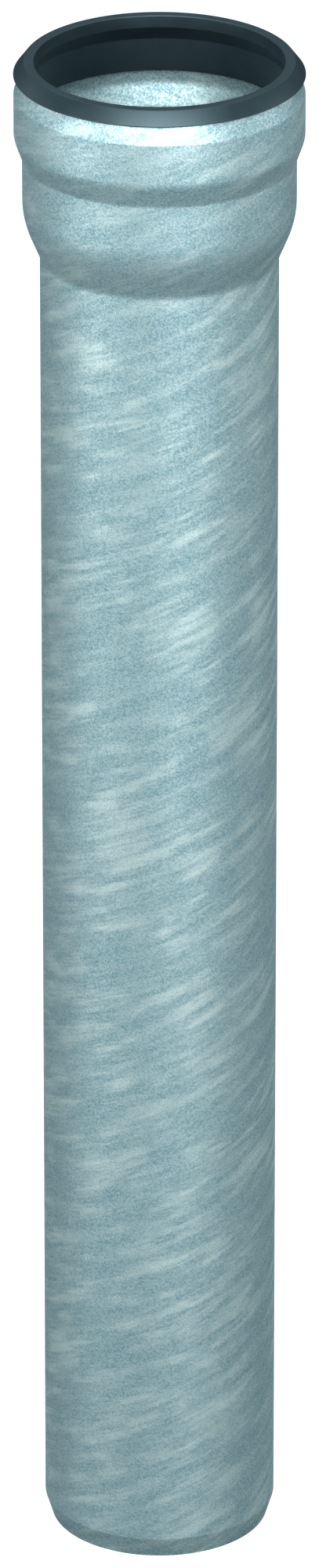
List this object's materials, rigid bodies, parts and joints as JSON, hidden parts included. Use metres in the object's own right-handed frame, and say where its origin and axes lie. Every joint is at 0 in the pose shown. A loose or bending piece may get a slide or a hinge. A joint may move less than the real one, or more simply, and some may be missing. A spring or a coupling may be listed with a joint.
{
  "type": "drain pipe",
  "caption": "Round galvanised steel drain pipe with a drawn-in spigot end and a formed push-fit socket that holds a black rubber sealing ring.",
  "frame": {"origin": "centre of the spigot's end face, on the pipe's axis; the pipe stands on this face", "axes": "+Z along the pipe's axis, from the spigot towards the socket; X and Y lie across the pipe"},
  "size_m": [0.124, 0.124, 0.692],
  "materials": {
    "galvanised_steel": "hot-dip galvanised, satin, fine spangle",
    "black_rubber": "moulded, satin"
  },
  "bodies": {
    "root": {"steel_pipe": "galvanised_steel", "sealing_ring": "black_rubber"}
  },
  "joints": []
}
